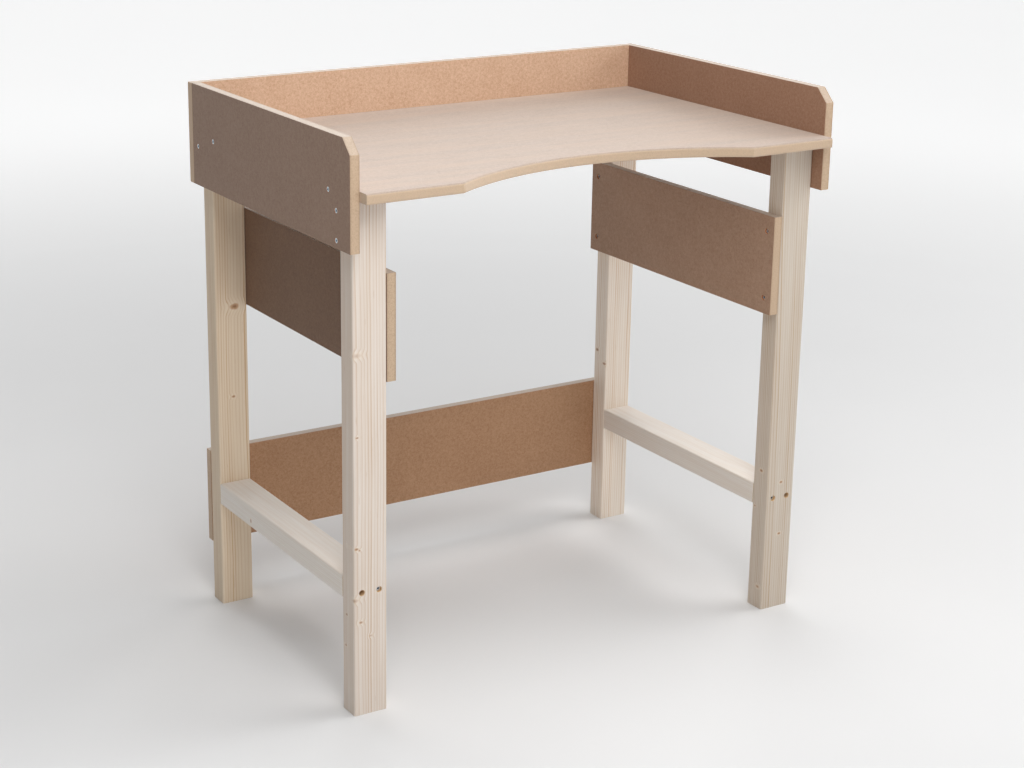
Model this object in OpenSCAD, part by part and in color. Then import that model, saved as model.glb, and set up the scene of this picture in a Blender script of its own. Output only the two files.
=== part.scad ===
// Self-assembly workbench. Two spruce leg frames carry an MDF worktop with a
// shallow curved recess in its front edge. MDF boards rise round its sides and
// back, and more MDF boards brace the legs. Everything is held by wood screws.
// The origin is on the floor, under the middle of the bench. -Y is the front.

/* [Overall] */
// Width over the side boards
bench_w = 900; // [760:10:1200]
// Depth of a leg frame, over its front and rear legs
frame_d = 528; // [440:4:700]
// Height of the worktop's surface above the floor
top_h = 845; // [780:5:950]

/* [MDF boards] */
// Thickness of every board
board_t = 16; // [14:1:20]
// Height of the side boards, back boards and aprons
strip_h = 169; // [150:1:190]
// Rise of the side and back boards above the worktop
rim_rise = 77; // [60:1:90]
// Reach of the side boards ahead of the front legs
side_ahead = 25; // [0:1:60]
// Chamfer on the top front corner of a side board
side_chamfer = 23; // [5:1:40]
// Height of the aprons' lower edge
apron_z = 541; // [480:1:580]
// Height of the lower back board's lower edge
low_board_z = 106; // [40:1:140]

/* [Worktop] */
// Reach of the worktop ahead of the side boards
top_ahead = 21; // [5:1:60]
// Radius of the curved recess in the front edge
recess_r = 500; // [400:10:800]
// Depth of the recess
recess_depth = 80; // [30:5:100]
// Rounding of the front edge's top corner
nose_r = 4; // [1:0.5:7]

/* [Spruce battens] */
// Wide face of a leg or rail
batten_w = 58; // [52:1:70]
// Narrow face of a leg or rail
batten_t = 38; // [34:1:48]
// Rounding of the long edges
batten_r = 3; // [1:0.5:5]
// Height of the rails' underside
rail_z = 188; // [160:2:220]

/* [Screws] */
// Shank diameter, over the thread
screw_d = 4; // [3:0.5:5]
// Head diameter
head_d = 8; // [7:0.5:9]
// Length of the screws that hold the boards
board_screw_l = 40; // [30:1:45]
// Length of the screws that hold the rails
rail_screw_l = 70; // [60:5:90]
// Distance between the two screws at a rail's end
rail_screw_pitch = 30; // [20:1:34]
// Diameter of the counterbores over the rail screws
counterbore_d = 9; // [9:0.5:11]

/* [Hidden] */
$fn = 48;
left = -1;
right = 1;
front = -1;
rear = 1;

// Planes across the bench, on its right half
side_in = bench_w / 2 - board_t;
leg_in = side_in - batten_w;
leg_x = side_in - batten_w / 2;

// Planes from front to back
depth = top_ahead + side_ahead + frame_d + board_t;
top_front = -depth / 2;
side_front = top_front + top_ahead;
leg_front = side_front + side_ahead;
leg_back = leg_front + frame_d;
front_leg_y = leg_front + batten_t / 2;
rear_leg_y = leg_back - batten_t / 2;
recess_y = top_front + recess_depth - recess_r;

// Flats that the front edge's rounding is made of
nose_steps = 4;

// Levels
leg_h = top_h - board_t;
rim_top = top_h + rim_rise;
rim_bottom = rim_top - strip_h;
top_mid = top_h - board_t / 2;
rail_mid = rail_z + batten_t / 2;

// Screw positions. Side board to legs as [y, z], worktop edge as y,
// worktop's rear edge as x, and the inset from a strip's long edges.
side_leg_points = [
    [rear_leg_y, leg_h - 10], [front_leg_y, leg_h - 19], [front_leg_y, rim_bottom + 12]
];
side_top_ys = [front_leg_y + 25, rear_leg_y - 60];
back_top_xs = [-250, 0, 250];
strip_inset = 27;

// Screw shape and fit
head_land = 0.5;
head_cone = (head_d - screw_d) / 2;
tip_l = 6;
slot_l = 4.4;
slot_w = 0.9;
slot_depth = 1.8;
hole_gap = 0.05;
tip_gap = 1;
mouth = 20;
board_sink = 0.5;
apron_sink = 3;
outer_rail_sink = 12;
inner_rail_sink = 4;

// Rounded section of a batten, centred
module batten_section() {
    square([batten_w - 2 * batten_r, batten_t], center = true);
    square([batten_w, batten_t - 2 * batten_r], center = true);
    for (x = [-1, 1], y = [-1, 1])
        translate([x * (batten_w / 2 - batten_r), y * (batten_t / 2 - batten_r)])
            circle(batten_r);
}

// What is cut away beside a rounded edge. The board lies towards +X and -Y.
module nose_waste() {
    polygon([
        for (i = [0:nose_steps])
            let (turn = 180 - 90 * i / nose_steps)
            nose_r * [1 + cos(turn), sin(turn) - 1],
        [nose_r, 1], [-1, 1], [-1, -nose_r]
    ]);
}

// Puts a part of the right half on either side
module on_side(side) {
    mirror([side == left ? 1 : 0, 0, 0]) children();
}

// Countersunk wood screw along -Z, with the flat of its head at z = 0
module screw(length) {
    difference() {
        rotate_extrude() polygon([
            [0, 0], [head_d / 2, 0], [head_d / 2, -head_land],
            [screw_d / 2, -head_land - head_cone],
            [screw_d / 2, tip_l - length], [0, -length]
        ]);
        for (turn = [0, 90])
            rotate(turn)
                translate([-slot_l / 2, -slot_w / 2, -slot_depth])
                    cube([slot_l, slot_w, slot_depth + 1]);
    }
}

// Hole for that screw, with a bore of diameter bore_d above its head
module screw_hole(length, bore_d = head_d + 2 * hole_gap) {
    head_r = head_d / 2 + hole_gap;
    shank_r = screw_d / 2 + hole_gap;
    rotate_extrude() polygon([
        [0, mouth], [bore_d / 2, mouth], [bore_d / 2, 0], [head_r, 0],
        [head_r, -head_land], [shank_r, -head_land - head_cone],
        [shank_r, -length - tip_gap], [0, -length - tip_gap]
    ]);
}

// Each of the next modules puts its child at one joint's screws, on the right half
module at_side_leg_screws() {
    for (p = side_leg_points)
        translate([bench_w / 2 - board_sink, p[0], p[1]]) rotate([0, 90, 0]) children();
}

module at_worktop_screws() {
    for (y = side_top_ys)
        translate([bench_w / 2 - board_sink, y, top_mid]) rotate([0, 90, 0]) children();
}

module at_apron_screws() {
    for (y = [front_leg_y, rear_leg_y], z = [strip_inset, strip_h - strip_inset])
        translate([leg_in - board_t + apron_sink, y, apron_z + z])
            rotate([0, -90, 0]) children();
}

// The outer screw of each pair sits deeper than the inner one
module at_rail_screws(end) {
    for (step = [-1, 1]) {
        sink = step > 0 ? outer_rail_sink : inner_rail_sink;
        face_y = end == front ? leg_front : leg_back;
        translate([leg_x + step * rail_screw_pitch / 2, face_y - end * sink, rail_mid])
            rotate([-90 * end, 0, 0]) children();
    }
}

// The back boards' screws go on both halves at once
module at_upper_back_screws() {
    for (x = [-leg_x, leg_x], z = [rim_bottom + 20, leg_h - 27])
        translate([x, leg_back + board_t - board_sink, z]) rotate([-90, 0, 0]) children();
    for (x = back_top_xs)
        translate([x, leg_back + board_t - board_sink, top_mid]) rotate([-90, 0, 0]) children();
}

module at_lower_back_screws() {
    for (x = [-leg_x, leg_x], z = [strip_inset, strip_h - strip_inset])
        translate([x, leg_back + board_t - board_sink, low_board_z + z])
            rotate([-90, 0, 0]) children();
}

module rail_screw_holes(end) {
    at_rail_screws(end) screw_hole(rail_screw_l, counterbore_d);
}

module leg(side, end) {
    y = end == front ? front_leg_y : rear_leg_y;
    color("wheat") on_side(side) difference() {
        translate([leg_x, y, 0]) linear_extrude(leg_h) batten_section();
        at_side_leg_screws() screw_hole(board_screw_l);
        at_apron_screws() screw_hole(board_screw_l);
        rail_screw_holes(end);
        if (end == rear) {
            at_upper_back_screws() screw_hole(board_screw_l);
            at_lower_back_screws() screw_hole(board_screw_l);
        }
    }
}

module rail(side) {
    color("moccasin") on_side(side) difference() {
        translate([leg_x, leg_front + batten_t, rail_mid])
            rotate([-90, 0, 0]) linear_extrude(frame_d - 2 * batten_t) batten_section();
        rail_screw_holes(front);
        rail_screw_holes(rear);
    }
}

module worktop() {
    color("antiquewhite") difference() {
        translate([0, 0, leg_h]) linear_extrude(board_t) difference() {
            translate([-side_in, top_front]) square([2 * side_in, leg_back - top_front]);
            translate([0, recess_y]) circle(recess_r);
        }
        translate([-bench_w / 2, top_front, top_h])
            rotate([90, 0, 90]) linear_extrude(bench_w) nose_waste();
        translate([0, recess_y, top_h])
            rotate_extrude() translate([recess_r, 0]) nose_waste();
        for (side = [left, right])
            on_side(side) at_worktop_screws() screw_hole(board_screw_l);
        at_upper_back_screws() screw_hole(board_screw_l);
    }
}

module side_board(side) {
    color("tan") on_side(side) difference() {
        translate([side_in, 0, 0])
            rotate([90, 0, 90]) linear_extrude(board_t) polygon([
                [side_front, rim_bottom], [leg_back, rim_bottom], [leg_back, rim_top],
                [side_front + side_chamfer, rim_top], [side_front, rim_top - side_chamfer]
            ]);
        at_side_leg_screws() screw_hole(board_screw_l);
        at_worktop_screws() screw_hole(board_screw_l);
    }
}

module upper_back_board() {
    color("burlywood") difference() {
        translate([-bench_w / 2, leg_back, rim_bottom]) cube([bench_w, board_t, strip_h]);
        at_upper_back_screws() screw_hole(board_screw_l);
    }
}

module lower_back_board() {
    color("peru") difference() {
        translate([-side_in, leg_back, low_board_z]) cube([2 * side_in, board_t, strip_h]);
        at_lower_back_screws() screw_hole(board_screw_l);
    }
}

module apron(side) {
    color("rosybrown") on_side(side) difference() {
        translate([leg_in - board_t, leg_front, apron_z]) cube([board_t, frame_d, strip_h]);
        at_apron_screws() screw_hole(board_screw_l);
    }
}

module side_board_screws(side) {
    color("silver") on_side(side) at_side_leg_screws() screw(board_screw_l);
}

module worktop_screws(side) {
    color("silver") on_side(side) at_worktop_screws() screw(board_screw_l);
}

module apron_screws(side) {
    color("gray") on_side(side) at_apron_screws() screw(board_screw_l);
}

module rail_screws(side, end) {
    color("silver") on_side(side) at_rail_screws(end) screw(rail_screw_l);
}

module upper_back_screws() {
    color("silver") at_upper_back_screws() screw(board_screw_l);
}

module lower_back_screws() {
    color("silver") at_lower_back_screws() screw(board_screw_l);
}

leg(left, front);  // leg_front_left
leg(right, front);  // leg_front_right
leg(left, rear);  // leg_rear_left
leg(right, rear);  // leg_rear_right
rail(left);  // rail_left
rail(right);  // rail_right
worktop();
side_board(left);  // side_board_left
side_board(right);  // side_board_right
upper_back_board();
lower_back_board();
apron(left);  // apron_left
apron(right);  // apron_right
side_board_screws(left);  // side_board_screws_left
side_board_screws(right);  // side_board_screws_right
worktop_screws(left);  // worktop_screws_left
worktop_screws(right);  // worktop_screws_right
apron_screws(left);  // apron_screws_left
apron_screws(right);  // apron_screws_right
rail_screws(left, front);  // rail_screws_front_left
rail_screws(right, front);  // rail_screws_front_right
rail_screws(left, rear);  // rail_screws_rear_left
rail_screws(right, rear);  // rail_screws_rear_right
upper_back_screws();
lower_back_screws();
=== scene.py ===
"""Looks of the workbench: spruce battens, MDF boards and zinc-plated screws.

Lengths are in metres and the front of the bench is towards -Y. Every piece takes its
place and size from the CAD node that it stands for.
"""
import math

import bmesh
import bpy
import numpy as np
from mathutils import Matrix, Vector


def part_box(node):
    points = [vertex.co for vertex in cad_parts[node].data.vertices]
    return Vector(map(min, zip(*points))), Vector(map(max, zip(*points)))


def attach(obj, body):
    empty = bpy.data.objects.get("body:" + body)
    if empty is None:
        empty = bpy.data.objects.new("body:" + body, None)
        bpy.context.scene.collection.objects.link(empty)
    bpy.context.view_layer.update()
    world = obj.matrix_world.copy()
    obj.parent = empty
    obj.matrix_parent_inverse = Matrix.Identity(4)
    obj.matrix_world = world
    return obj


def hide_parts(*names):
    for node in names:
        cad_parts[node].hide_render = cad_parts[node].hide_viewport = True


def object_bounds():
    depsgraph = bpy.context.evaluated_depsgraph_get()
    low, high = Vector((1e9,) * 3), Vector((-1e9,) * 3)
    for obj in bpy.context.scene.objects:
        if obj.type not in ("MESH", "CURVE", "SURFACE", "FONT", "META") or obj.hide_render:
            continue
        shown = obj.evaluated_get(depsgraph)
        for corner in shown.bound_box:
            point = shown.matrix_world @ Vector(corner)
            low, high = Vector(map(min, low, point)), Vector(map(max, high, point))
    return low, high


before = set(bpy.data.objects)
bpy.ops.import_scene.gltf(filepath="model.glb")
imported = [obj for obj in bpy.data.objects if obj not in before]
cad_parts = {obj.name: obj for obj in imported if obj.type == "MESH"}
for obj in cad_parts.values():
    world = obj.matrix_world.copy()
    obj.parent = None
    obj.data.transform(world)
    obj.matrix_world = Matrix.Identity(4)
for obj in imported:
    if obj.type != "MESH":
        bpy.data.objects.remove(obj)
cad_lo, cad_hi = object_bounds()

MM = 0.001
X, Y, Z = 0, 1, 2
LEFT, RIGHT, FRONT, BACK = (-1, 0, 0), (1, 0, 0), (0, -1, 0), (0, 1, 0)
FRONT_LEFT_CORNER = (-0.7071, -0.7071, 0.0)

# Battens and boards
BATTEN_ROUND = 3 * MM
BATTEN_END_EASE = 0.4 * MM
BOARD_EASE = 0.5 * MM
NOSE_ROUND = 4 * MM
RECESS_RADIUS = 500 * MM
RECESS_DEPTH = 80 * MM
RECESS_STEPS = 72
SIDE_CHAMFER = 23 * MM

# Screw heads
HEAD_R = 4 * MM
HEAD_EASE = 0.2 * MM
HEAD_LAND = 0.5 * MM
NECK_R = 1.9 * MM
NECK_END_R = 1.6 * MM
NECK_END = 3.2 * MM
SCREW_SIDES = 28

# Each blade of the cross recess is (half length, half width, height) at its top and bottom
BLADE_TOP = (2.7 * MM, 0.95 * MM, 0.5 * MM)
BLADE_BOTTOM = (0.9 * MM, 0.50 * MM, -2.0 * MM)
FIRST_TURN, TURN_STEP = 0.4, 1.9

# Screw shanks
SCREW_R = 2 * MM
PLAIN_SHANK_R = 1.45 * MM
PLAIN_SHARE = 0.3
THREAD_CORE_R = 1.25 * MM
THREAD_RISE = 0.73 * MM
THREAD_PITCH = 1.8 * MM
RIDGE_HALF_WIDTH = 0.28
SHANK_START = 2.2 * MM
TIP_LENGTH = 6 * MM
TIP_END = 0.3 * MM
SHANK_SIDES = 10

# Holes
HOLE_GAP = 0.05 * MM
SNUG_R = HEAD_R + HOLE_GAP
COUNTERBORE_R = 4.5 * MM
MOUTH_FLARE = 0.6 * MM
MOUTH_REACH = 20 * MM


def srgb(red, green, blue):
    """A colour given as 0-255 display values, as the linear one that shaders take."""
    def linear(value):
        value /= 255
        return value / 12.92 if value <= 0.04045 else ((value + 0.055) / 1.055) ** 2.4
    return (linear(red), linear(green), linear(blue), 1)


# Spruce
RING_WIDTH = 3.3 * MM
RING_RAMP = ((0.0, 0.0), (0.52, 0.06), (0.81, 0.50), (0.94, 1.0), (1.0, 0.0))
KNOT_DEPTH = 30 * MM
KNOT_SQUASH = 1.5
EARLYWOOD, EARLYWOOD_WARM = srgb(229, 219, 206), srgb(221, 208, 193)
LATEWOOD = srgb(190, 152, 108)
WOOD_STREAK = srgb(208, 186, 162)
WOOD_FLECK = srgb(176, 140, 100)
WOOD_FIBRE = srgb(190, 165, 135)
KNOT_HALO, KNOT, KNOT_HEART = srgb(232, 218, 198), srgb(186, 138, 94), srgb(122, 80, 50)
END_EARLYWOOD, END_LATEWOOD = srgb(214, 188, 148), srgb(170, 130, 86)

# MDF. The last two are shares of the face's red, green and blue in its darkest flecks.
# Each board's face colour is one raw MDF made lighter or darker to paint the light and shade on
# it: lightest on the upper back board, for the strong light it catches, and darkest on the left
# apron, for the shade under the side board
FACES_WITH_PAINTED_LIGHT = {
    "side_board_left": srgb(149, 119, 97),
    "side_board_right": srgb(160, 121, 95),
    "apron_left": srgb(126, 92, 64),
    "apron_right": srgb(168, 135, 110),
    "upper_back_board": srgb(216, 182, 155),
    "lower_back_board": srgb(178, 138, 104),
    "worktop": srgb(176, 157, 143),
}
EDGE = srgb(196, 170, 142)
# Multiplier that paints the cool light from above onto sawn edges that face up
TOP_EDGE_PAINTED_COOL_LIGHT = (0.88, 0.98, 1.16, 1)
MDF_SPECK = srgb(112, 76, 52)
WORKTOP_STREAK = srgb(188, 160, 136)
BOARD_DARK = (0.74, 0.65, 0.56)
WORKTOP_DARK = (0.76, 0.72, 0.68)

# Studio
BACKDROP_GLOW = 0.55
LEFT_GLOW = 0.3
HORIZON, ZENITH = 0.92, 0.06
LEFT_WORLD = 0.58
WORLD_TINT = (0.96, 0.98, 1.0, 1)
FLOOR_PALE, FLOOR_DIM = (0.75, 0.75, 0.75, 1), (0.72, 0.72, 0.72, 1)
FLOOR_RADIUS = 60
WHITE = (1, 1, 1, 1)
SOFT_SUN = math.radians(60)

# The camera stands to the front left, a little above the worktop, and looks slightly down.
CAMERA_PLACE = (-1.7761, -2.7662, 1.4792)
YAW, PITCH, ROLL = 0.5311, 0.2857, 0.0056
FOCAL_IN_FRAMES = 1.967
SENSOR_WIDTH = 36
SHIFT = (0.078, -0.059)


# ---------------------------------------------------------------- shader building

class Shader:
    """One material's node tree, built a node at a time."""

    def __init__(self, name, roughness, specular=0.3, metallic=0.0, sheen=0.0):
        self.material = bpy.data.materials.new(name)
        self.material.use_nodes = True
        self.tree = self.material.node_tree
        self.bsdf = self.tree.nodes["Principled BSDF"]
        self.bsdf.inputs["Roughness"].default_value = roughness
        self.bsdf.inputs["Specular IOR Level"].default_value = specular
        self.bsdf.inputs["Metallic"].default_value = metallic
        self.bsdf.inputs["Sheen Weight"].default_value = sheen
        self.bsdf.inputs["Sheen Roughness"].default_value = 0.5

    def put(self, socket, value):
        """Links a node's output to the socket, or sets the socket to a plain value."""
        if isinstance(value, bpy.types.NodeSocket):
            self.tree.links.new(value, socket)
        else:
            socket.default_value = value

    def node(self, kind, inputs, output=0, **settings):
        made = self.tree.nodes.new(kind)
        for key, value in settings.items():
            setattr(made, key, value)
        for key, value in inputs.items():
            self.put(made.inputs[key], value)
        return made.outputs[output]

    def math(self, operation, *values, clamp=False):
        return self.node(
            "ShaderNodeMath", dict(enumerate(values)), operation=operation, use_clamp=clamp
        )

    def swing(self, value, amount, onto, clamp=False):
        """Adds a 0-1 value to onto, as a swing of amount about the value's middle."""
        centred = self.math("SUBTRACT", value, 0.5)
        return self.math("MULTIPLY_ADD", centred, amount, onto, clamp=clamp)

    def vector(self, operation, *values, output=0):
        return self.node(
            "ShaderNodeVectorMath", dict(enumerate(values)), output, operation=operation
        )

    def parts(self, vector):
        made = self.tree.nodes.new("ShaderNodeSeparateXYZ")
        self.put(made.inputs[0], vector)
        return list(made.outputs)

    def joined(self, x, y, z):
        return self.node("ShaderNodeCombineXYZ", {0: x, 1: y, 2: z})

    def noise(self, vector, scale=1.0, detail=2.0, roughness=0.5):
        return self.node(
            "ShaderNodeTexNoise",
            {"Vector": vector, "Scale": scale, "Detail": detail, "Roughness": roughness},
        )

    def stretched(self, vector, scales, detail=2.0, roughness=0.5):
        """Noise with its own scale along each axis."""
        return self.noise(self.vector("MULTIPLY", vector, scales), 1.0, detail, roughness)

    def between(self, value, low, high, out_low=0.0, out_high=1.0):
        """value taken from low..high to out_low..out_high, smoothly and clamped."""
        return self.node(
            "ShaderNodeMapRange", {0: value, 1: low, 2: high, 3: out_low, 4: out_high},
            interpolation_type="SMOOTHSTEP",
        )

    def blend(self, share, first, second, mode="MIX"):
        made = self.tree.nodes.new("ShaderNodeMix")
        made.data_type = "RGBA"
        made.blend_type = mode
        self.put(made.inputs[0], share)
        self.put(made.inputs[6], first)
        self.put(made.inputs[7], second)
        return made.outputs[2]

    def ramp(self, value, *stops):
        made = self.tree.nodes.new("ShaderNodeValToRGB")
        self.put(made.inputs[0], value)
        elements = made.color_ramp.elements
        while len(elements) < len(stops):
            elements.new(1.0)
        for element, (position, shade) in zip(elements, stops):
            element.position = position
            element.color = (shade, shade, shade, 1)
        return made.outputs[0]

    def position(self):
        return self.node("ShaderNodeTexCoord", {}, 3)

    def normal(self):
        return self.parts(self.node("ShaderNodeNewGeometry", {}, 1))

    def facing(self, axis):
        """1 on faces across the axis and 0 on faces along it."""
        return self.math("ABSOLUTE", self.normal()[axis])

    def finish(self, colour, height, depth, roughness=None):
        self.put(self.bsdf.inputs["Base Color"], colour)
        if roughness is not None:
            self.put(self.bsdf.inputs["Roughness"], roughness)
        bump = self.node("ShaderNodeBump", {"Height": height, "Distance": depth})
        self.put(self.bsdf.inputs["Normal"], bump)
        return self.material


# ---------------------------------------------------------------- spruce

def pith_distance(s, across, along, seeded, pith, lean):
    """Distance from the pith line, with a slow wander and a fine ripple."""
    squares = []
    for value, offset, drift in zip(across, pith, lean):
        line = s.math("MULTIPLY_ADD", along, drift, offset)
        aside = s.math("SUBTRACT", value, line)
        squares.append(s.math("MULTIPLY", aside, aside))
    radius = s.math("SQRT", s.math("ADD", *squares))
    radius = s.swing(s.stretched(seeded, (5, 5, 1.3), detail=1.5), 12 * MM, radius)
    return s.swing(s.stretched(seeded, (60, 60, 14)), 1.0 * MM, radius)


def knot_shapes(s, here, seeded, length_axis, radius, knots):
    """The rings' radius, swollen round every knot, and masks of the knots' three parts."""
    squash = [1.0, 1.0, 1.0]
    squash[length_axis] = KNOT_SQUASH
    wobble = s.stretched(seeded, (160, 160, 110))
    knot_mask, knot_heart, knot_halo = 0.0, 0.0, 0.0
    for place, outward, size, darkness in knots:
        offset = s.vector("SUBTRACT", here, place)
        reach = s.vector("DOT_PRODUCT", offset, outward, output=1)
        depthwise = s.node("ShaderNodeVectorMath", {0: outward, 3: reach}, operation="SCALE")
        aside = s.vector("MULTIPLY", s.vector("SUBTRACT", offset, depthwise), squash)
        distance = s.vector("LENGTH", aside, output=1)
        distance = s.swing(wobble, size * 0.7, distance)
        inside = s.between(reach, -KNOT_DEPTH, -0.8 * KNOT_DEPTH)
        swell = s.math("MULTIPLY", s.between(distance, size * 3.6, 0.0), size * 0.6)
        radius = s.math("ADD", radius, s.math("MULTIPLY", swell, inside))
        spot = s.math("MULTIPLY", s.between(distance, size * 1.25, size * 0.70), inside)
        heart = s.math("MULTIPLY", s.between(distance, size * 0.85, 0.0), inside)
        halo = s.math("MULTIPLY", s.between(distance, size * 2.8, size), inside)
        knot_mask = s.math("MAXIMUM", knot_mask, s.math("MULTIPLY", spot, darkness))
        knot_heart = s.math("MAXIMUM", knot_heart, s.math("MULTIPLY", heart, darkness))
        knot_halo = s.math("MAXIMUM", knot_halo, halo)
    return radius, knot_mask, knot_heart, knot_halo


def latewood_share(s, seeded, radius, patch, seed, grain):
    """Dark line at the end of each ring. Its strength differs by ring and by patch."""
    uneven = s.noise(s.joined(radius, seed, 0.0), scale=55.0, detail=1.0)
    count = s.math("MULTIPLY_ADD", uneven, 1.6, s.math("DIVIDE", radius, RING_WIDTH))
    share = s.ramp(s.math("FRACT", count), *RING_RAMP)
    strength = s.node(
        "ShaderNodeTexWhiteNoise", {"W": s.math("FLOOR", count)}, noise_dimensions="1D")
    share = s.math("MULTIPLY", share, s.between(strength, 0.0, 1.0, 0.45, 1.25))
    share = s.math("MULTIPLY", share, s.between(patch, 0.30, 0.72, 0.45, 1.0), clamp=True)
    return s.math("MULTIPLY", share, grain, clamp=True)


def spruce(name, centre, length_axis, pith, lean, tint, seed, knots, grain=1.3, sheen=0.10):
    """Planed spruce. Growth rings run round a pith line that lies beside the batten.

    pith is the line's place across the batten from its centre, in metres, and lean is
    how far it drifts for each metre of length. Each knot is (place, outward direction,
    radius, darkness).
    """
    s = Shader(name, roughness=0.6, specular=0.4, sheen=sheen)
    here = s.position()
    x, y, z = s.parts(s.vector("SUBTRACT", here, centre))
    across, along = ((x, z), y) if length_axis == Y else ((x, y), z)
    seeded = s.vector(
        "ADD", s.joined(*across, along), (seed * 1.37, seed * 0.71, seed * 2.11))

    radius = pith_distance(s, across, along, seeded, pith, lean)
    radius, knot_mask, knot_heart, knot_halo = knot_shapes(
        s, here, seeded, length_axis, radius, knots)
    patch = s.stretched(seeded, (22, 22, 3.0))
    latewood = latewood_share(s, seeded, radius, patch, seed, grain)
    fibre = s.stretched(seeded, (1400, 1400, 26), detail=3.0, roughness=0.6)
    streak = s.between(s.stretched(seeded, (260, 260, 5)), 0.35, 0.70, 0.0, 0.28)
    fleck = s.between(s.stretched(seeded, (520, 520, 36), detail=1.0), 0.74, 0.80)

    colour = s.blend(latewood, s.blend(patch, EARLYWOOD, EARLYWOOD_WARM), LATEWOOD)
    colour = s.blend(streak, colour, WOOD_STREAK)
    colour = s.blend(s.math("MULTIPLY", fleck, 0.30), colour, WOOD_FLECK)
    colour = s.blend(s.between(fibre, 0.30, 0.70, 0.0, 0.10), colour, WOOD_FIBRE)
    # The piece's tone, which also paints light and shade over the whole piece
    colour = s.blend(1.0, colour, (*tint, 1), "MULTIPLY")
    colour = s.blend(s.math("MULTIPLY", knot_halo, 0.25), colour, KNOT_HALO)
    colour = s.blend(knot_mask, colour, KNOT)
    colour = s.blend(knot_heart, colour, KNOT_HEART)
    end_share = s.math("MULTIPLY", s.between(s.facing(length_axis), 0.80, 0.95), 0.75)
    colour = s.blend(end_share, colour, s.blend(latewood, END_EARLYWOOD, END_LATEWOOD))

    height = s.math("ADD", s.math("MULTIPLY", latewood, 0.55), s.math("MULTIPLY", fibre, 0.45))
    roughness = s.between(latewood, 0.0, 1.0, 0.66, 0.52)
    return s.finish(colour, height, 0.12 * MM, roughness)


# ---------------------------------------------------------------- MDF, holes and zinc

def streaked(s, colour, seeded, most):
    """Long streaks across the worktop with fine sanding lines in them."""
    long_streak = s.stretched(seeded, (2.6, 34, 2.6), detail=3.0, roughness=0.65)
    sanding = s.stretched(seeded, (14, 420, 14))
    band = s.math("MULTIPLY_ADD", sanding, 0.35, long_streak)
    return s.blend(s.between(band, 0.48, 0.90, 0.0, most), colour, WORKTOP_STREAK)


def sawn_edge(s, here, seeded, thin_axis, lo, hi, face_dark):
    """Pale sawn edge, browner next to the faces, with painted cool light where it faces up."""
    depth = s.math("SUBTRACT", s.parts(here)[thin_axis], (lo + hi) / 2)
    depth = s.math("DIVIDE", s.math("ABSOLUTE", depth), (hi - lo) / 2)
    core = s.between(depth, 1.0, 0.55)
    saw = s.noise(seeded, scale=380.0, detail=4.0, roughness=0.7)
    colour = s.blend(core, s.blend(0.35, EDGE, face_dark), EDGE)
    colour = s.blend(s.between(saw, 0.35, 0.75, 0.0, 0.30), colour, face_dark)
    # Painted light: edges that face up are tinted cooler, as the light from above makes them look
    painted_top_light = s.between(s.normal()[Z], 0.4, 0.9)
    return s.blend(painted_top_light, colour, s.blend(1.0, colour, TOP_EDGE_PAINTED_COOL_LIGHT, "MULTIPLY"))


def mdf(name, thin_axis, lo, hi, face, dark, seed, sheen=0.15, streak_share=0.0):
    """Raw MDF: fine felted fibre on the faces, lighter and coarser on the sawn edges.

    thin_axis is the board's thickness direction, between lo and hi.
    """
    face_dark = tuple(full * share for full, share in zip(face, (*dark, 1)))
    s = Shader(name, roughness=0.7, specular=0.5, sheen=sheen)
    here = s.position()
    seeded = s.vector("ADD", here, (seed * 0.93, seed * 1.71, seed * 0.37))
    clouds = s.noise(seeded, scale=16.0, detail=4.0, roughness=0.6)
    mottle = s.noise(seeded, scale=180.0, detail=3.0, roughness=0.6)
    felt = s.noise(seeded, scale=420.0, detail=3.0, roughness=0.65)
    fibres = s.noise(seeded, scale=1100.0, detail=4.0, roughness=0.7)
    dots = s.node("ShaderNodeTexVoronoi", {"Vector": seeded, "Scale": 650.0})
    speck = s.between(dots, 0.10, 0.0)

    mix = s.swing(clouds, 0.55, 0.48)
    mix = s.swing(mottle, 1.5, mix)
    mix = s.swing(felt, 1.9, mix)
    mix = s.swing(fibres, 1.2, mix, clamp=True)
    colour = s.blend(mix, face, face_dark)
    if streak_share:
        colour = streaked(s, colour, seeded, streak_share)
    colour = s.blend(s.math("MULTIPLY", speck, 0.22), colour, MDF_SPECK)
    edge_share = s.between(s.facing(thin_axis), 0.75, 0.45)
    colour = s.blend(edge_share, colour, sawn_edge(s, here, seeded, thin_axis, lo, hi, face_dark))

    height = s.math("ADD", s.math("MULTIPLY", fibres, 0.6), s.math("MULTIPLY", mottle, 0.4))
    roughness = s.between(fibres, 0.3, 0.7, 0.60, 0.76)
    return s.finish(colour, height, 0.10 * MM, roughness)


def bored(name, colour, dark):
    """Wall of a drilled hole, browned and left rough by the drill."""
    s = Shader(name, roughness=0.9, specular=0.15)
    grain = s.noise(s.position(), scale=900.0, detail=4.0, roughness=0.7)
    return s.finish(s.blend(grain, colour, dark), grain, 0.15 * MM)


def zinc(name, pale, blue):
    """Zinc-plated steel with a blue passivation and small wear marks."""
    s = Shader(name, roughness=0.3, metallic=1.0)
    here = s.position()
    cloud = s.noise(here, scale=420.0, detail=3.0)
    scuff = s.stretched(here, (2600, 900, 900), detail=3.0, roughness=0.7)
    colour = s.blend(cloud, pale, blue)
    return s.finish(colour, scuff, 0.02 * MM, s.between(scuff, 0.3, 0.7, 0.22, 0.42))


BORED_SPRUCE = bored("bored_spruce", srgb(222, 196, 160), srgb(192, 152, 112))
BORED_MDF = bored("bored_mdf", srgb(190, 140, 108), srgb(150, 104, 76))
ZINC_PLATE = zinc("zinc_plate", (0.92, 0.94, 0.95, 1), (0.66, 0.82, 0.93, 1))
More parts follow.
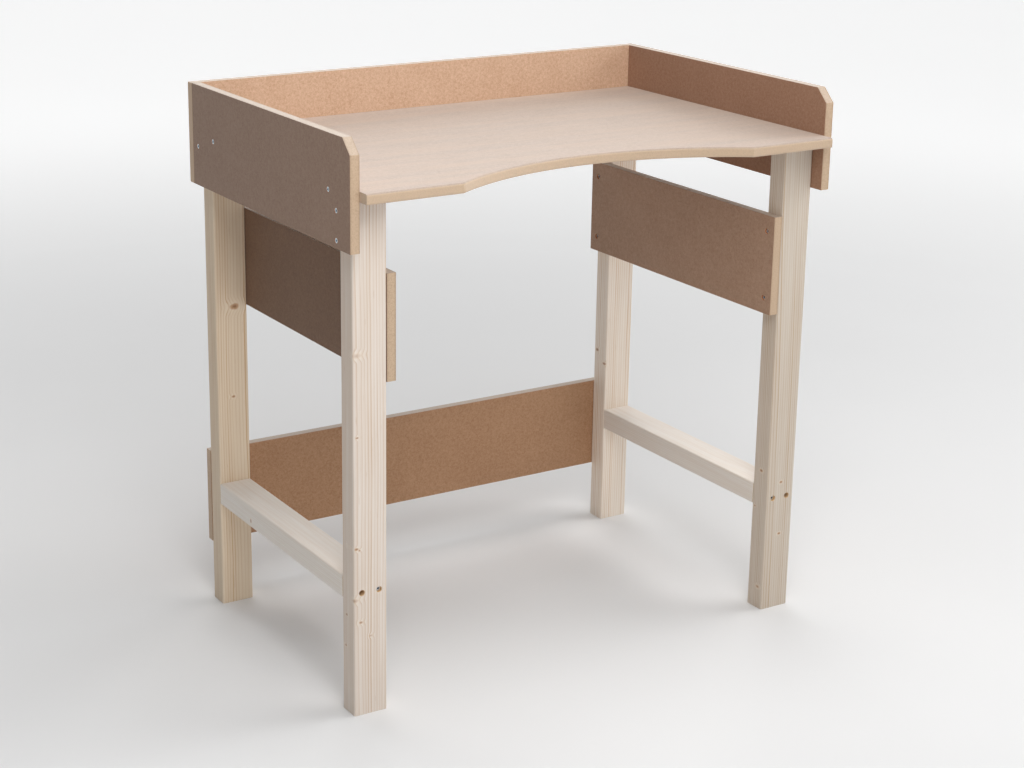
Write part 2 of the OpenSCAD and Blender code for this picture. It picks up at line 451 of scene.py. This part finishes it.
# The cross recess's zinc is painted near black, as painted shade in its hollow
ZINC_RECESS_PAINTED_SHADE = zinc("zinc_recess_painted_shade", (0.10, 0.20, 0.30, 1), (0.03, 0.08, 0.15, 1))


# ---------------------------------------------------------------- mesh building

def new_piece(name, bm, materials):
    mesh = bpy.data.meshes.new(name)
    bm.to_mesh(mesh)
    bm.free()
    piece = bpy.data.objects.new(name, mesh)
    bpy.context.scene.collection.objects.link(piece)
    for material in materials:
        mesh.materials.append(material)
    return piece


def other_axes(axis):
    return [a for a in (X, Y, Z) if a != axis]


def extruded(outline, lo, hi, axis):
    """A bmesh prism of a 2D outline. The outline's two axes are the ones other than axis."""
    bm = bmesh.new()
    first, second = other_axes(axis)
    rings = []
    for level in (lo, hi):
        ring = []
        for a, b in outline:
            point = [0.0, 0.0, 0.0]
            point[first], point[second], point[axis] = a, b, level
            ring.append(bm.verts.new(point))
        rings.append(ring)
    count = len(outline)
    bm.faces.new(rings[0])
    bm.faces.new(rings[1])
    for i in range(count):
        j = (i + 1) % count
        bm.faces.new((rings[0][i], rings[0][j], rings[1][j], rings[1][i]))
    bmesh.ops.recalc_face_normals(bm, faces=bm.faces)
    return bm


def rectangle(lo, hi, axis):
    first, second = other_axes(axis)
    return [
        (lo[first], lo[second]), (hi[first], lo[second]),
        (hi[first], hi[second]), (lo[first], hi[second]),
    ]


def round_edges(bm, edges, radius, segments):
    bmesh.ops.bevel(
        bm, geom=edges, offset=radius, segments=segments, profile=0.5,
        affect="EDGES", clamp_overlap=True,
    )


def sharp_edges(bm, angle=math.radians(40)):
    return [e for e in bm.edges if len(e.link_faces) == 2 and e.calc_face_angle() > angle]


def batten_mesh(lo, hi, length_axis):
    """A batten with rounded long edges and barely eased ends."""
    bm = extruded(rectangle(lo, hi, length_axis), lo[length_axis], hi[length_axis], length_axis)
    long_edges = [
        e for e in bm.edges
        if abs((e.verts[0].co - e.verts[1].co)[length_axis]) > BATTEN_ROUND
    ]
    round_edges(bm, long_edges, BATTEN_ROUND, 6)
    ends = [
        e for e in sharp_edges(bm)
        if abs(e.verts[0].co[length_axis] - e.verts[1].co[length_axis]) < BATTEN_END_EASE
    ]
    round_edges(bm, ends, BATTEN_END_EASE, 1)
    return bm


def board_mesh(outline, lo, hi, axis):
    bm = extruded(outline, lo[axis], hi[axis], axis)
    round_edges(bm, sharp_edges(bm), BOARD_EASE, 2)
    return bm


def side_board_outline(lo, hi):
    """A side board with its top front corner cut off, seen along X."""
    return [
        (lo.y, lo.z), (hi.y, lo.z), (hi.y, hi.z),
        (lo.y + SIDE_CHAMFER, hi.z), (lo.y, hi.z - SIDE_CHAMFER),
    ]


def worktop_outline(lo, hi):
    """The worktop seen along Z, with the round recess in its front edge."""
    centre_y = lo.y + RECESS_DEPTH - RECESS_RADIUS
    half = math.acos((RECESS_RADIUS - RECESS_DEPTH) / RECESS_RADIUS)
    arc = []
    for i in range(RECESS_STEPS + 1):
        turn = half * (2 * i / RECESS_STEPS - 1)
        arc.append((RECESS_RADIUS * math.sin(turn), centre_y + RECESS_RADIUS * math.cos(turn)))
    return [(lo.x, lo.y), *arc, (hi.x, lo.y), (hi.x, hi.y), (lo.x, hi.y)]


def worktop_mesh(lo, hi):
    """The worktop, with its top front edge rounded and its lower and rear edges eased."""
    bm = extruded(worktop_outline(lo, hi), lo.z, hi.z, Z)
    front_limit = lo.y + RECESS_DEPTH + NOSE_ROUND
    nose = []
    for e in sharp_edges(bm):
        a, b = (v.co for v in e.verts)
        on_top = min(a.z, b.z) > hi.z - MM
        runs_in_front = max(a.y, b.y) < front_limit and abs(a.x - b.x) > MM
        if on_top and runs_in_front:
            nose.append(e)
    round_edges(bm, nose, NOSE_ROUND, 6)
    eased = [
        e for e in sharp_edges(bm)
        if max(v.co.z for v in e.verts) < lo.z + MM or min(v.co.y for v in e.verts) > hi.y - MM
    ]
    round_edges(bm, eased, BOARD_EASE, 2)
    return bm


def revolved(bm, profile, matrix, sides, material_index=0):
    """Adds a closed body of revolution about local Z. The profile starts and ends on the axis."""
    turns = [2 * math.pi * i / sides for i in range(sides)]
    rings = []
    for radius, height in profile:
        if radius == 0:
            rings.append([bm.verts.new(matrix @ Vector((0, 0, height)))])
            continue
        rings.append([
            bm.verts.new(matrix @ Vector((radius * math.cos(t), radius * math.sin(t), height)))
            for t in turns
        ])
    for lower, upper in zip(rings, rings[1:]):
        for i in range(sides):
            j = (i + 1) % sides
            corners = [lower[i % len(lower)], lower[j % len(lower)],
                       upper[j % len(upper)], upper[i % len(upper)]]
            unique = list(dict.fromkeys(corners))
            face = bm.faces.new(unique)
            face.material_index = material_index


def outward_matrix(point, outward):
    """Turns local +Z to outward and moves the origin to point."""
    turn = Vector((0, 0, 1)).rotation_difference(Vector(outward)).to_matrix().to_4x4()
    return Matrix.Translation(point) @ turn


def axis_of(outward):
    return [abs(c) for c in outward].index(1)


def solids(node):
    """The boxes of the separate solids that a CAD node is made of."""
    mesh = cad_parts[node].data
    parent = list(range(len(mesh.vertices)))

    def root(i):
        while parent[i] != i:
            parent[i] = parent[parent[i]]
            i = parent[i]
        return i

    places = {}
    for v in mesh.vertices:
        key = tuple(round(c, 6) for c in v.co)
        parent[v.index] = root(places.setdefault(key, v.index))
    for e in mesh.edges:
        parent[root(e.vertices[0])] = root(e.vertices[1])
    groups = {}
    for v in mesh.vertices:
        groups.setdefault(root(v.index), []).append(v.co)
    return [
        (Vector(np.min(group, axis=0)), Vector(np.max(group, axis=0)))
        for group in groups.values()
    ]


def screw_places(node, outward):
    """(middle of the head's flat, length) of each screw of a CAD node."""
    axis = axis_of(outward)
    found = []
    for lo, hi in solids(node):
        point = (lo + hi) / 2
        point[axis] = hi[axis] if outward[axis] > 0 else lo[axis]
        found.append((point, hi[axis] - lo[axis]))
    return sorted(found, key=lambda place: tuple(place[0]))


def cut(piece, cutter):
    """Takes the cutter away from the piece. The cutter's material index carries over."""
    modifier = piece.modifiers.new("cut", "BOOLEAN")
    modifier.operation = "DIFFERENCE"
    modifier.solver = "EXACT"
    modifier.object = cutter
    view = bpy.context.evaluated_depsgraph_get()
    result = bpy.data.meshes.new_from_object(piece.evaluated_get(view))
    piece.modifiers.clear()
    old, piece.data = piece.data, result
    result.name = old.name
    bpy.data.meshes.remove(old)
    bpy.data.objects.remove(cutter)


def hole_profile(bore, sunk, length):
    """Outline of the cutter for one screw, from its mouth down to its tip.

    sunk is how far the head's flat lies below the piece's surface, and the mouth only
    flares where it is above zero.
    """
    flare = min(MOUTH_FLARE, 0.8 * sunk)
    if flare > 0:
        wide = bore + flare
        mouth = [(0, MOUTH_REACH), (wide, MOUTH_REACH), (wide, sunk), (bore, sunk - flare)]
    else:
        mouth = [(0, MOUTH_REACH), (bore, MOUTH_REACH)]
    shank = SCREW_R + HOLE_GAP
    return [
        *mouth,
        (bore, 0), (SNUG_R, -0.01 * MM),
        (SNUG_R, -HEAD_LAND), (shank, -HEAD_LAND - (SNUG_R - shank)),
        (shank, -length - MM), (0, -length - MM),
    ]


def drill(piece, joints):
    """Drills a piece for the screws of each (node, outward direction, bore radius)."""
    bm = bmesh.new()
    lo = Vector([min(c[i] for c in piece.bound_box) for i in (X, Y, Z)])
    hi = Vector([max(c[i] for c in piece.bound_box) for i in (X, Y, Z)])
    for node, outward, bore in joints:
        axis = axis_of(outward)
        surface = hi if outward[axis] > 0 else lo
        for point, length in screw_places(node, outward):
            tip = point - Vector(outward) * length
            near = [min(point[i], tip[i]) < hi[i] and max(point[i], tip[i]) > lo[i]
                    for i in (X, Y, Z)]
            if not all(near):
                continue
            sunk = (surface[axis] - point[axis]) * outward[axis]
            profile = hole_profile(bore, sunk, length)
            revolved(bm, profile, outward_matrix(point, outward), SCREW_SIDES, 1)
    if not bm.faces:
        bm.free()
        return
    bmesh.ops.recalc_face_normals(bm, faces=bm.faces)
    cut(piece, new_piece("cutter", bm, list(piece.data.materials)))


def shade(piece):
    """Smooth shading inside rounded edges, with flat faces kept flat."""
    for face in piece.data.polygons:
        face.use_smooth = True
    piece.data.set_sharp_from_angle(angle=math.radians(32))
    weighted = piece.modifiers.new("normals", "WEIGHTED_NORMAL")
    weighted.keep_sharp = True
    weighted.weight = 100


def keep(piece, node):
    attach(piece, "root")
    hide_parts(node)


# ---------------------------------------------------------------- screws

def thread_radius(turn, depth):
    """Radius of a pointed wood-screw thread at a turn in radians and a depth."""
    phase = (depth / THREAD_PITCH - turn / (2 * math.pi)) % 1
    ridge = max(0.0, 1 - abs(phase - 0.5) / RIDGE_HALF_WIDTH)
    return THREAD_CORE_R + THREAD_RISE * ridge


def shank_levels(length, plain_end):
    """Depths of the shank's rings, which stand closer together along the thread."""
    levels = []
    depth = SHANK_START
    while depth < length - TIP_END:
        levels.append(depth)
        depth += THREAD_PITCH / 5 if depth > plain_end else 2 * MM
    return levels


def add_shank(bm, matrix, length):
    """A threaded shank with a tapered tip, closed at both ends."""
    plain_end = length * PLAIN_SHARE
    rings = []
    for depth in shank_levels(length, plain_end):
        taper = min(1.0, (length - depth) / TIP_LENGTH)
        ring = []
        for i in range(SHANK_SIDES):
            turn = 2 * math.pi * i / SHANK_SIDES
            radius = thread_radius(turn, depth) if depth > plain_end else PLAIN_SHANK_R
            radius *= taper
            ring.append(bm.verts.new(matrix @ Vector(
                (radius * math.cos(turn), radius * math.sin(turn), -depth))))
        rings.append(ring)
    for upper, lower in zip(rings, rings[1:]):
        for i in range(SHANK_SIDES):
            j = (i + 1) % SHANK_SIDES
            bm.faces.new((upper[i], lower[i], lower[j], upper[j]))
    bm.faces.new(rings[0])
    bm.faces.new(reversed(rings[-1]))


def blade_mesh(turn):
    """One tapered blade of the cross recess, as a cutter."""
    bm = bmesh.new()
    rings = []
    for half_l, half_w, height in (BLADE_TOP, BLADE_BOTTOM):
        corners = [(-half_l, -half_w), (half_l, -half_w), (half_l, half_w), (-half_l, half_w)]
        rings.append([
            bm.verts.new(Matrix.Rotation(turn, 3, "Z") @ Vector((a, b, height)))
            for a, b in corners
        ])
    bm.faces.new(rings[0])
    bm.faces.new(rings[1])
    for i in range(4):
        j = (i + 1) % 4
        bm.faces.new((rings[0][i], rings[0][j], rings[1][j], rings[1][i]))
    # The blade's faces become the recess walls, which take the zinc painted dark as shade
    for face in bm.faces:
        face.material_index = 1
    bmesh.ops.recalc_face_normals(bm, faces=bm.faces)
    return bm


def head_template():
    """A countersunk head with a cross recess, its flat at z = 0."""
    materials = [ZINC_PLATE, ZINC_RECESS_PAINTED_SHADE]
    bm = bmesh.new()
    profile = [
        (0, 0), (HEAD_R - HEAD_EASE, 0), (HEAD_R - 0.3 * HEAD_EASE, -0.3 * HEAD_EASE),
        (HEAD_R, -HEAD_EASE), (HEAD_R, -HEAD_LAND), (NECK_R, -HEAD_LAND - (HEAD_R - NECK_R)),
        (NECK_END_R, -NECK_END), (0, -NECK_END),
    ]
    revolved(bm, profile, Matrix.Identity(4), SCREW_SIDES)
    bmesh.ops.recalc_face_normals(bm, faces=bm.faces)
    head = new_piece("head_template", bm, materials)
    for turn in (0.0, math.pi / 2):
        cut(head, new_piece("blade", blade_mesh(turn), materials))
    return head


def add_screws(node, outward, head):
    """All the screws of one CAD node, each turned a little differently."""
    bm = bmesh.new()
    for count, (point, length) in enumerate(screw_places(node, outward)):
        spin = Matrix.Rotation(FIRST_TURN + TURN_STEP * count, 4, "Z")
        matrix = outward_matrix(point, outward) @ spin
        first = len(bm.verts)
        bm.from_mesh(head.data)
        bm.verts.ensure_lookup_table()
        bmesh.ops.transform(bm, matrix=matrix, verts=bm.verts[first:])
        add_shank(bm, matrix, length)
    bmesh.ops.recalc_face_normals(bm, faces=bm.faces)
    piece = new_piece(node + "_zinc", bm, list(head.data.materials))
    shade(piece)
    keep(piece, node)


# ---------------------------------------------------------------- the bench

SIDES = ("left", "right")
OUTWARD = {"left": LEFT, "right": RIGHT}
INWARD = {"left": RIGHT, "right": LEFT}
RAIL_OUTWARD = {"front": FRONT, "rear": BACK}

# A joint is (screw node, outward direction, bore radius above the head's flat).
UPPER_BACK = ("upper_back_screws", BACK, SNUG_R)
LOWER_BACK = ("lower_back_screws", BACK, SNUG_R)


def side_joint(side):
    return (f"side_board_screws_{side}", OUTWARD[side], SNUG_R)


def worktop_joint(side):
    return (f"worktop_screws_{side}", OUTWARD[side], SNUG_R)


def apron_joint(side):
    return (f"apron_screws_{side}", INWARD[side], SNUG_R)


def rail_joint(end, side):
    return (f"rail_screws_{end}_{side}", RAIL_OUTWARD[end], COUNTERBORE_R)


# Knots of each leg: the face they are placed on, metres across it from its left or front
# edge, height above the floor, outward direction, radius and darkness
KNOTS = {
    "leg_front_left": [
        (FRONT, 6 * MM, 0.590, FRONT_LEFT_CORNER, 5.5 * MM, 0.20),
        (FRONT, 7 * MM, 0.461, FRONT, 2.6 * MM, 0.6),
        (FRONT, 5 * MM, 0.281, FRONT, 3.4 * MM, 0.7),
        (FRONT, 10 * MM, 0.278, FRONT, 2.4 * MM, 0.5),
        (FRONT, 1 * MM, 0.196, FRONT_LEFT_CORNER, 5.0 * MM, 0.35),
        (FRONT, 12 * MM, 0.158, FRONT, 3.6 * MM, 0.6),
        (FRONT, 29 * MM, 0.132, FRONT, 3.0 * MM, 0.3),
        (LEFT, 24 * MM, 0.165, LEFT, 3.2 * MM, 0.5),
        (LEFT, 27 * MM, 0.112, LEFT, 3.0 * MM, 0.6),
    ],
    "leg_rear_left": [
        (FRONT, 35 * MM, 0.541, FRONT, 8.5 * MM, 0.75),
        (FRONT, 29 * MM, 0.381, FRONT, 3.6 * MM, 0.7),
    ],
    "leg_rear_right": [
        (LEFT, 28 * MM, 0.340, LEFT, 5 * MM, 0.6),
        (LEFT, 4 * MM, 0.318, FRONT_LEFT_CORNER, 4 * MM, 0.6),
    ],
    "leg_front_right": [
        (FRONT, 30 * MM, 0.234, FRONT, 3.4 * MM, 0.7),
        (FRONT, 32 * MM, 0.138, FRONT, 3.2 * MM, 0.7),
        (LEFT, 18 * MM, 0.255, LEFT, 3.8 * MM, 0.7),
        (LEFT, 12 * MM, 0.040, LEFT, 4.2 * MM, 0.5),
        (LEFT, 30 * MM, 0.186, LEFT, 2.6 * MM, 0.5),
    ],
}
# Each leg's wood colour is multiplied by these. They give the rear left leg its warmer wood and
# also paint light and shade: darker on the front right leg where the light falls off, lighter and
# cooler on the rear right leg for the light that reaches it
LEG_TONES_AND_PAINTED_LIGHT = {
    "leg_front_left": (1.01, 1.02, 1.07),
    "leg_front_right": (0.84, 0.84, 0.84),
    "leg_rear_left": (1.00, 0.94, 0.84),
    "leg_rear_right": (1.14, 1.16, 1.20),
}
# Lightens and cools both rails, painting the bright light on their tops
RAIL_TONE_AND_PAINTED_LIGHT = (1.05, 1.09, 1.15)

# Place of each pith line across its batten, and its drift for each metre of length
PITHS = {
    "leg_front_left": ((-0.082, 0.095), (0.010, 0.006)),
    "leg_front_right": ((-0.090, 0.080), (-0.008, 0.006)),
    "leg_rear_left": ((0.080, 0.090), (0.008, -0.006)),
    "leg_rear_right": ((0.085, 0.085), (-0.006, 0.008)),
}
RAIL_PITH = ((0.02, -0.11), (0.03, 0.01))


def knots_on(node):
    """A leg's knots as (place, outward direction, radius, darkness)."""
    lo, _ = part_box(node)
    found = []
    for face, aside, height, outward, radius, darkness in KNOTS[node]:
        if face == FRONT:
            place = (lo.x + aside, lo.y, height)
        else:
            place = (lo.x, lo.y + aside, height)
        found.append((place, outward, radius, darkness))
    return found


def spruce_piece(node, length_axis, joints, slot, **look):
    lo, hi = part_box(node)
    wood = spruce(node + "_spruce", tuple((lo + hi) / 2), length_axis, **look)
    piece = new_piece(node + "_wood", batten_mesh(lo, hi, length_axis), [wood, BORED_SPRUCE])
    drill(piece, joints)
    shade(piece)
    keep(piece, node)


def mdf_piece(node, axis, outline, joints, seed):
    lo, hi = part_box(node)
    look = mdf(node + "_mdf", axis, lo[axis], hi[axis], FACES_WITH_PAINTED_LIGHT[node], BOARD_DARK, seed)
    piece = new_piece(node + "_panel", board_mesh(outline, lo, hi, axis), [look, BORED_MDF])
    drill(piece, joints)
    shade(piece)
    keep(piece, node)


def add_legs():
    for seed, node in enumerate(KNOTS, start=1):
        end, side = node.split("_")[1:]
        joints = [side_joint(side), apron_joint(side), rail_joint(end, side)]
        if end == "rear":
            joints += [UPPER_BACK, LOWER_BACK]
        pith, lean = PITHS[node]
        spruce_piece(node, Z, joints, "spruce_leg",
                     pith=pith, lean=lean, tint=LEG_TONES_AND_PAINTED_LIGHT[node], seed=seed, knots=knots_on(node))


def add_rails():
    """Both rails. The left one has a knot on its outer face."""
    pith, lean = RAIL_PITH
    for seed, side in enumerate(SIDES, start=7):
        node = f"rail_{side}"
        lo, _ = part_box(node)
        knots = []
        if side == "left":
            knots.append(((lo.x, lo.y + 0.33, lo.z + 12 * MM), LEFT, 4 * MM, 0.8))
        joints = [rail_joint("front", side), rail_joint("rear", side)]
        spruce_piece(node, Y, joints, "spruce_rail", pith=pith, lean=lean, tint=RAIL_TONE_AND_PAINTED_LIGHT,
                     seed=seed, knots=knots, grain=0.28, sheen=0.5)


def add_worktop():
    lo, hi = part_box("worktop")
    look = mdf("worktop_mdf", Z, lo.z, hi.z, FACES_WITH_PAINTED_LIGHT["worktop"], WORKTOP_DARK, seed=4,
               sheen=0.3, streak_share=0.4)
    worktop = new_piece("worktop_panel", worktop_mesh(lo, hi), [look, BORED_MDF])
    drill(worktop, [worktop_joint("left"), worktop_joint("right"), UPPER_BACK])
    shade(worktop)
    keep(worktop, "worktop")


def add_side_boards_and_aprons():
    for seed, side in enumerate(SIDES, start=11):
        node = f"side_board_{side}"
        outline = side_board_outline(*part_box(node))
        mdf_piece(node, X, outline, [side_joint(side), worktop_joint(side)], seed)
        node = f"apron_{side}"
        mdf_piece(node, X, rectangle(*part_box(node), X), [apron_joint(side)], seed + 5)


def add_back_boards():
    joints = {"upper_back_board": UPPER_BACK, "lower_back_board": LOWER_BACK}
    for seed, (node, joint) in enumerate(joints.items(), start=21):
        mdf_piece(node, Y, rectangle(*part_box(node), Y), [joint], seed)


def add_all_screws():
    head = head_template()
    joints = []
    for side in SIDES:
        joints += [side_joint(side), worktop_joint(side), apron_joint(side)]
        joints += [rail_joint("front", side), rail_joint("rear", side)]
    for node, outward, _ in (*joints, UPPER_BACK, LOWER_BACK):
        add_screws(node, outward, head)
    bpy.data.objects.remove(head)


add_legs()
add_rails()
add_worktop()
add_side_boards_and_aprons()
add_back_boards()
add_all_screws()


# ---------------------------------------------------------------- floor, lights and camera

def add_floor():
    """A pale floor that glows softly far from the bench, and less so to its left."""
    s = Shader("studio_floor", roughness=0.9, specular=0.1)
    here = s.position()
    cloud = s.noise(here, scale=1.5)
    away = s.vector("LENGTH", here, output=1)
    glow = s.between(away, 0.8, 5.0, 0.0, BACKDROP_GLOW)
    dimmed = s.between(s.parts(here)[X], -4.0, -0.5, LEFT_GLOW, 1.0)
    s.put(s.bsdf.inputs["Emission Color"], WHITE)
    s.put(s.bsdf.inputs["Emission Strength"], s.math("MULTIPLY", glow, dimmed))
    material = s.finish(s.blend(cloud, FLOOR_PALE, FLOOR_DIM), cloud, 0.0)
    bm = bmesh.new()
    bmesh.ops.create_circle(bm, cap_ends=True, radius=FLOOR_RADIUS, segments=96)
    new_piece("floor", bm, [material])


def add_world():
    """A studio that is pale at the horizon, dim above and dimmer towards the left."""
    world = bpy.data.worlds.new("studio")
    world.use_nodes = True
    tree = world.node_tree
    direction = tree.nodes.new("ShaderNodeTexCoord").outputs["Generated"]
    split = tree.nodes.new("ShaderNodeSeparateXYZ")
    tree.links.new(direction, split.inputs[0])

    def faded(axis, low, high, out_low, out_high):
        fade = tree.nodes.new("ShaderNodeMapRange")
        fade.interpolation_type = "SMOOTHSTEP"
        tree.links.new(split.outputs[axis], fade.inputs[0])
        for socket, value in zip((1, 2, 3, 4), (low, high, out_low, out_high)):
            fade.inputs[socket].default_value = value
        return fade.outputs[0]

    product = tree.nodes.new("ShaderNodeMath")
    product.operation = "MULTIPLY"
    tree.links.new(faded(Z, 0.0, 0.38, HORIZON, ZENITH), product.inputs[0])
    tree.links.new(faded(X, -1.0, 0.1, LEFT_WORLD, 1.0), product.inputs[1])
    background = tree.nodes["Background"]
    background.inputs["Color"].default_value = WORLD_TINT
    tree.links.new(product.outputs[0], background.inputs["Strength"])
    bpy.context.scene.world = world


def add_light(kind, name, place, strength, **settings):
    """A white lamp turned to the bench. A sun only takes its direction from the place."""
    light = bpy.data.lights.new(name, kind)
    light.energy = strength
    for key, value in settings.items():
        setattr(light, key, value)
    lamp = bpy.data.objects.new(name, light)
    lamp.location = place
    middle = (cad_lo + cad_hi) / 2
    lamp.rotation_euler = (middle - Vector(place)).to_track_quat("-Z", "Y").to_euler()
    bpy.context.scene.collection.objects.link(lamp)


def add_lights():
    add_light("AREA", "key", (-0.73, -2.0, 2.88), 38, shape="DISK", size=1.8)
    add_light("AREA", "front", (-1.24, -2.65, 1.8), 14, shape="DISK", size=1.8)
    add_light("AREA", "right_near", (2.73, -0.73, 2.0), 24, shape="DISK", size=1.8)
    add_light("AREA", "top", (0.0, -0.3, 2.8), 30, shape="DISK", size=2.2)
    add_light("SUN", "right", (5.0, -0.4, 3.4), 1.0, angle=SOFT_SUN)
    add_light("SUN", "back", (1.2, 5.0, 2.4), 1.8, angle=SOFT_SUN)


def add_camera():
    lens = bpy.data.cameras.new("camera")
    lens.sensor_width = SENSOR_WIDTH
    lens.lens = FOCAL_IN_FRAMES * SENSOR_WIDTH
    lens.shift_x, lens.shift_y = SHIFT
    camera = bpy.data.objects.new("camera", lens)
    camera.location = CAMERA_PLACE
    level = math.cos(PITCH)
    look = Vector((math.sin(YAW) * level, math.cos(YAW) * level, -math.sin(PITCH)))
    aim = look.to_track_quat("-Z", "Y").to_matrix()
    camera.rotation_euler = (aim @ Matrix.Rotation(ROLL, 3, "Z")).to_euler()
    bpy.context.scene.collection.objects.link(camera)
    bpy.context.scene.camera = camera


add_floor()
add_world()
add_lights()
add_camera()
bpy.context.scene.view_settings.view_transform = "Standard"
